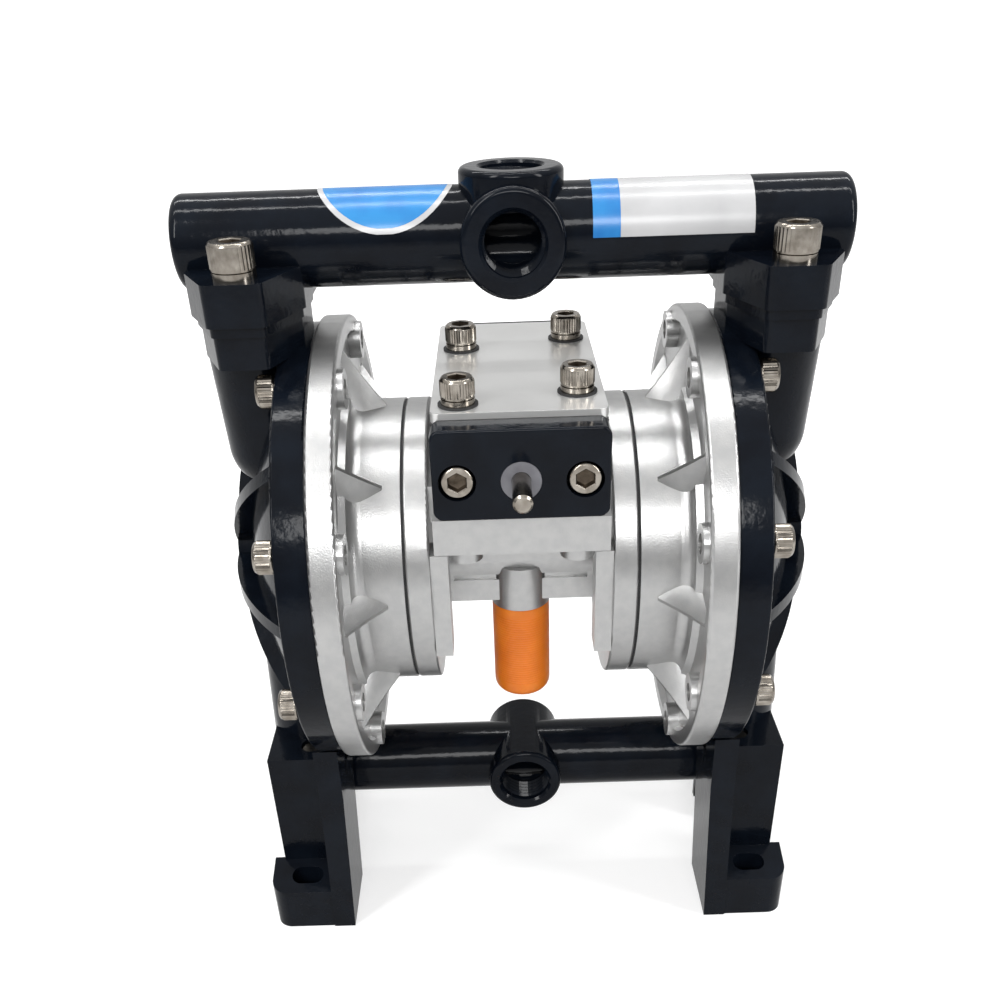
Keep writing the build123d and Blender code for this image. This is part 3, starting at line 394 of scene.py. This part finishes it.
m6 = {"head_height": 6 * mm, "across": 5 * mm, "shank_radius": 3 * mm}
m8 = {"head_height": 8 * mm, "across": 6 * mm, "shank_radius": 4 * mm}
place_screws("plate_screws", (0, 0, 1), **m6)
place_screws("front_cap_screws", (0, -1, 0), **m6)
place_screws("rear_cap_screws", (0, 1, 0), **m6)
place_screws("rim_bolts_left", (-1, 0, 0), **m6)
place_screws("rim_bolts_right", (1, 0, 0), **m6)
place_screws("manifold_bolts", (0, 0, 1), **m8)
place_screws("foot_bolts", (0, 0, -1), **m8)

# %% [markdown]
# ## Silencer
# Exhaust air leaves through a porous plastic plug with fine rings round it. The rings are real
# geometry: a repeated groove in the profile catches the light along the whole side.

# %% The silencer
silencer_low, silencer_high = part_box("silencer")
silencer_radius = (silencer_high.x - silencer_low.x) / 2
neck_radius = 6.4 * mm
neck_length = 8.5 * mm
body_top = silencer_high.z - neck_length
ring_pitch = 0.95 * mm
ring_depth = 0.14 * mm
tip_flat, tip_steps = silencer_radius * 0.62, 6
tip_start, tip_height = silencer_low.z + 0.25 * mm, 4.0 * mm
silencer_rings = [(silencer_radius * 0.3, silencer_low.z), (tip_flat, tip_start)]
for k in range(1, tip_steps + 1):
    turn = math.pi / 2 * k / tip_steps
    silencer_rings.append((tip_flat + silencer_radius * 0.38 * math.sin(turn),
                           tip_start + tip_height * (1 - math.cos(turn))))
height = silencer_low.z + 6 * mm
while height + ring_pitch < body_top - 3.5 * mm:
    silencer_rings.append((silencer_radius, height))
    silencer_rings.append((silencer_radius, height + ring_pitch * 0.55))
    silencer_rings.append((silencer_radius - ring_depth, height + ring_pitch * 0.7))
    silencer_rings.append((silencer_radius - ring_depth, height + ring_pitch * 0.85))
    height += ring_pitch
silencer_rings += [(silencer_radius, height), (silencer_radius, body_top - 0.4 * mm),
                   (silencer_radius - 0.4 * mm, body_top), (neck_radius, body_top),
                   (neck_radius, silencer_high.z)]
silencer = stack_rings("ringed_silencer", silencer_rings, orange_plastic)
silencer.data.transform(Matrix.Translation(((silencer_low.x + silencer_high.x) / 2,
                                            (silencer_low.y + silencer_high.y) / 2, 0)))
shade(silencer)
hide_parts("silencer")
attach(silencer, "pump")
print("silencer with", len(silencer_rings), "rings")

# %% [markdown]
# ## Pipe threads
# Each port is tapped. A thread is a small ridge with a blunt crest, swept along a helix on the
# port's wall, and the record gives each port's centre, direction, radius and length. The ridge is
# thinned almost to nothing at both ends, as a cut thread fades out.

# %% Cut the threads
thread_steps = 48


def thread(name, mount, pitch, depth, material):
    """A helical ridge inside a threaded port of the record."""
    centre = Vector(mount["pos_m"])
    axis = Vector(mount["axis"])
    radius = mount["dims"]["r_mm"] * mm
    length = mount["dims"]["length_mm"] * mm * 0.86
    turns = length / pitch
    steps = int(turns * thread_steps)
    turn = Vector((0, 0, 1)).rotation_difference(axis).to_matrix().to_4x4()
    mesh = bmesh.new()
    rows = []
    for k in range(steps + 1):
        angle = 2 * math.pi * k / thread_steps
        fade = min(1.0, k / thread_steps * 2, (steps - k) / thread_steps * 2)
        middle = length * (k / steps - 0.5)
        crest = radius - depth * max(fade, 0.02)
        half = pitch * 0.46
        row = [mesh.verts.new((reach * math.cos(angle), reach * math.sin(angle), height))
               for reach, height in ((radius + 0.05 * mm, middle - half), (crest, middle - pitch * 0.06),
                                     (crest, middle + pitch * 0.06), (radius + 0.05 * mm, middle + half))]
        rows.append(row)
    for before, after in zip(rows, rows[1:]):
        for i in range(4):
            j = (i + 1) % 4
            mesh.faces.new((before[i], after[i], after[j], before[j]))
    mesh.faces.new(rows[0])
    mesh.faces.new(list(reversed(rows[-1])))
    bmesh.ops.recalc_face_normals(mesh, faces=mesh.faces)
    data = bpy.data.meshes.new(name)
    mesh.to_mesh(data)
    mesh.free()
    data.materials.append(material)
    data.transform(Matrix.Translation(centre) @ turn)
    piece = bpy.data.objects.new(name, data)
    bpy.context.scene.collection.objects.link(piece)
    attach(piece, "pump")
    return piece


mounts = {mount["name"]: mount for mount in frame["record"]["mounts"]}
for port in ("outlet_top", "outlet_front", "inlet_front", "inlet_rear"):
    thread(port + "_thread", mounts[port], 1.814 * mm, 0.85 * mm, black_paint)
thread("air_inlet_thread", mounts["air_inlet"], 1.337 * mm, 0.6 * mm, cast_silver)
print("cut 5 threads")

# %% [markdown]
# ## Plain stickers
# Two printed sheets are stuck round the upper pipe: a blue disc with a white border and a
# white sheet with a blue band. They are left blank. Each is a grid of points bent round the pipe,
# a hair above the paint, and a material per colour keeps their borders sharp.

# %% Sticker colours
sticker_blue = finish("sticker_blue", (0.010, 0.13, 0.38), (0.018, 0.20, 0.48), 60, roughness=0.25)
sticker_white = finish("sticker_white", (0.38, 0.38, 0.385), (0.43, 0.43, 0.435), 60, roughness=0.25)
print("made", sticker_blue.name, "and", sticker_white.name)

# %% Bend a sheet round the pipe
pipe_z = mounts["outlet_front"]["pos_m"][2]
pipe_radius = 13.7 * mm
sheet_lift = 0.12 * mm


def sticker(name, patches):
    """Thin sheets on the upper pipe. A patch is a list of rows (round, along), and a material."""
    mesh = bmesh.new()
    for index, (rows, _) in enumerate(patches):
        lift = sheet_lift + 0.03 * mm * index
        grid = []
        for row in rows:
            line = []
            for around, along in row:
                turn = around / pipe_radius
                reach = pipe_radius + lift
                line.append(mesh.verts.new((along, -reach * math.sin(turn), pipe_z + reach * math.cos(turn))))
            grid.append(line)
        for before, after in zip(grid, grid[1:]):
            for i in range(len(before) - 1):
                face = mesh.faces.new((before[i], before[i + 1], after[i + 1], after[i]))
                face.material_index = index
    bmesh.ops.recalc_face_normals(mesh, faces=mesh.faces)
    data = bpy.data.meshes.new(name)
    mesh.to_mesh(data)
    mesh.free()
    data.shade_smooth()
    for _, material in patches:
        data.materials.append(material)
    piece = bpy.data.objects.new(name, data)
    bpy.context.scene.collection.objects.link(piece)
    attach(piece, "pump")
    return piece


# %% [markdown]
# A disc bends as easily as a rectangle when its rows are chords: each row runs along the pipe and
# is as long as the disc is wide there.

# %% The two stickers
def disc_rows(centre_round, centre_along, radius, steps=28):
    """Chords of a disc, each with its points in order along the pipe."""
    rows = []
    for k in range(1, steps):
        turn = math.pi * k / steps
        half = radius * math.sin(turn)
        around = centre_round - radius * math.cos(turn)
        rows.append([(around, centre_along - half + 2 * half * i / 8) for i in range(9)])
    return rows


def sheet_rows(round_from, round_to, along_from, along_to, steps=24):
    """Rows of a rectangle."""
    return [[(round_from + (round_to - round_from) * k / steps, along) for along in (along_from, along_to)]
            for k in range(steps + 1)]


disc_centre = (-1.5 * mm, -37.0 * mm)
disc_radius, border = 20.0 * mm, 1.6 * mm
sticker("round_sticker", [
    (disc_rows(*disc_centre, disc_radius), sticker_white),
    (disc_rows(*disc_centre, disc_radius - border), sticker_blue),
])
sheet_back, sheet_front = -12 * mm, 21.2 * mm
sticker("band_sticker", [
    (sheet_rows(sheet_back, sheet_front, 30.6 * mm, 70.0 * mm), sticker_white),
    (sheet_rows(sheet_back, sheet_front, 23.2 * mm, 31.2 * mm), sticker_blue),
])
print("two plain stickers")

# %% [markdown]
# ## Floor, light and camera
# The floor and backdrop are one pale sweep. Long lamps give the paint its long highlights.
# The world is plain white to the eye. Reflections see it dark near the horizon and white overhead,
# as in a studio with dark walls, and as a light source it is a calm grey.

# %% Floor
def sweep_floor(front=-4.0, bend=2.2, bend_radius=1.0, top=3.5, half_width=5.0, steps=12):
    """A pale floor that curves up into a backdrop, in metres."""
    mesh = bmesh.new()
    path = [(front, 0.0), (bend, 0.0)]
    for k in range(1, steps + 1):
        turn = math.pi / 2 * k / steps
        path.append((bend + bend_radius * math.sin(turn), bend_radius - bend_radius * math.cos(turn)))
    path.append((bend + bend_radius, top))
    rows = [[mesh.verts.new((x, y, z)) for x in (-half_width, half_width)] for y, z in path]
    for a, b in zip(rows, rows[1:]):
        mesh.faces.new((a[0], a[1], b[1], b[0]))
    data = bpy.data.meshes.new("studio_floor")
    mesh.to_mesh(data)
    mesh.free()
    data.shade_smooth()
    floor = bpy.data.objects.new("studio_floor", data)
    bpy.context.scene.collection.objects.link(floor)
    return floor


floor_white = finish("floor_white", (0.50, 0.50, 0.50), (0.52, 0.52, 0.52), 2, roughness=0.9)
floor = sweep_floor()
floor.data.materials.append(floor_white)
tree = floor_white.node_tree
floor_shader = tree.nodes["Principled BSDF"]
floor_shader.inputs["Specular IOR Level"].default_value = 0.0
floor_shader.inputs["Emission Color"].default_value = (1, 1, 1, 1)
print("floor of", len(floor.data.polygons), "faces")

# %% [markdown]
# The lamps leave the far floor grey. Far from the pump the floor therefore glows at strength 1 for
# the camera, which is plain white, and close to the pump less, so that the soft shadow under the
# feet stays. Reflections get under half of that glow, which keeps the black paint dark.

# %% Join shader values
def combine(tree, operation, first, second):
    """The output of a math node, fed by two outputs, or by an output and a number."""
    node = tree.nodes.new("ShaderNodeMath")
    node.operation = operation
    for socket, source in zip(node.inputs, (first, second)):
        if isinstance(source, float):
            socket.default_value = source
        else:
            tree.links.new(source, socket)
    return node.outputs[0]


def remap(tree, source, between, results):
    """The output of a node that carries one pair of values over to another."""
    node = tree.nodes.new("ShaderNodeMapRange")
    node.inputs["From Min"].default_value, node.inputs["From Max"].default_value = between
    node.inputs["To Min"].default_value, node.inputs["To Max"].default_value = results
    tree.links.new(source, node.inputs["Value"])
    return node.outputs["Result"]


# %% Fade the far floor to white
near_and_far = (0.16, 0.75)
glow_near_and_far = (0.58, 1.0)
mirrored_share = 0.4
rays = tree.nodes.new("ShaderNodeLightPath").outputs
place = tree.nodes.new("ShaderNodeTexCoord").outputs
away = tree.nodes.new("ShaderNodeVectorMath")
away.operation = "LENGTH"
tree.links.new(place["Object"], away.inputs[0])
fade = remap(tree, away.outputs["Value"], near_and_far, glow_near_and_far)
mirrored = combine(tree, "MULTIPLY", rays["Is Glossy Ray"], mirrored_share)
seen = combine(tree, "MAXIMUM", rays["Is Camera Ray"], mirrored)
tree.links.new(combine(tree, "MULTIPLY", seen, fade), floor_shader.inputs["Emission Strength"])
print("floor glows from", glow_near_and_far[0], "near the pump to", glow_near_and_far[1])

# %% [markdown]
# The world holds two backgrounds, one that lights and one that is seen. A light path tells which
# kind of ray asks, and the height of the ray sets how bright the seen one is in a reflection.

# %% World
world = bpy.data.worlds.new("studio")
bpy.context.scene.world = world
world.use_nodes = True
tree = world.node_tree
tree.nodes.clear()
rays = tree.nodes.new("ShaderNodeLightPath").outputs
place = tree.nodes.new("ShaderNodeTexCoord").outputs
axes = tree.nodes.new("ShaderNodeSeparateXYZ")
tree.links.new(place["Generated"], axes.inputs[0])
overhead = remap(tree, axes.outputs["Z"], (0.0, 0.8), (0.25, 1.0))
seen_strength = combine(tree, "MAXIMUM", rays["Is Camera Ray"], overhead)
sees = combine(tree, "MAXIMUM", rays["Is Camera Ray"], rays["Is Transmission Ray"])
sees = combine(tree, "MAXIMUM", sees, rays["Is Glossy Ray"])
as_light, as_view = (tree.nodes.new("ShaderNodeBackground") for _ in range(2))
for background in (as_light, as_view):
    background.inputs["Color"].default_value = (1, 1, 1, 1)
as_light.inputs["Strength"].default_value = 0.45
tree.links.new(seen_strength, as_view.inputs["Strength"])
mix = tree.nodes.new("ShaderNodeMixShader")
out = tree.nodes.new("ShaderNodeOutputWorld")
tree.links.new(sees, mix.inputs["Fac"])
tree.links.new(as_light.outputs[0], mix.inputs[1])
tree.links.new(as_view.outputs[0], mix.inputs[2])
tree.links.new(mix.outputs[0], out.inputs["Surface"])
print("studio world with", len(tree.nodes), "shader nodes")

# %% [markdown]
# Gloss black shows little but the lamps, so their shape matters most. Narrow lamps draw thin bright
# lines along the pipes and rims, and leave the rest of the paint deep.

# %% Lamps
middle = Vector((0, 0, 0.13))


def softbox(name, place, size, power):
    """A rectangular lamp aimed at the middle of the pump."""
    lamp = bpy.data.lights.new(name, "AREA")
    lamp.shape = "RECTANGLE"
    lamp.size, lamp.size_y = size
    lamp.energy = power
    holder = bpy.data.objects.new(name, lamp)
    holder.location = place
    holder.rotation_euler = (middle - Vector(place)).to_track_quat("-Z", "Y").to_euler()
    bpy.context.scene.collection.objects.link(holder)
    return holder


softbox("key_lamp", (-0.75, -0.75, 1.05), (0.22, 0.9), 10)
softbox("fill_lamp", (1.05, -0.5, 0.7), (0.2, 0.9), 8)
softbox("front_lamp", (0.0, -1.1, 0.85), (0.6, 0.25), 6)
softbox("top_lamp", (0.0, 0.0, 1.25), (1.5, 0.05), 6)
softbox("back_lamp", (0.0, 0.65, 1.2), (1.5, 0.05), 6)
print(len(bpy.data.lights), "lamps")

# %% [markdown]
# The camera looks down at the front from close by, so that the feet draw together below. The lens
# is shifted, which puts the optical centre below the middle of the frame.

# %% Camera
focal_pixels, frame_side, sensor_width = 1068.76, 1000, 36.0
optical_centre = (501.24, 681.49)
heading, tilt, roll = 0.405, 33.607, -2.036
camera_data = bpy.data.cameras.new("camera")
camera_data.sensor_width = sensor_width
camera_data.lens = focal_pixels / frame_side * sensor_width
camera_data.shift_x = -(optical_centre[0] - frame_side / 2) / frame_side
camera_data.shift_y = (optical_centre[1] - frame_side / 2) / frame_side
camera = bpy.data.objects.new("camera", camera_data)
camera.matrix_world = (
    Matrix.Translation((-0.00563, -0.34230, 0.31042))
    @ Matrix.Rotation(math.radians(heading), 4, "Z")
    @ Matrix.Rotation(math.radians(90 - tilt), 4, "X")
    @ Matrix.Rotation(math.radians(roll), 4, "Z")
)
bpy.context.scene.collection.objects.link(camera)
bpy.context.scene.camera = camera
bpy.context.scene.view_settings.view_transform = "Standard"
print("camera with a lens of", round(camera_data.lens, 1), "mm")
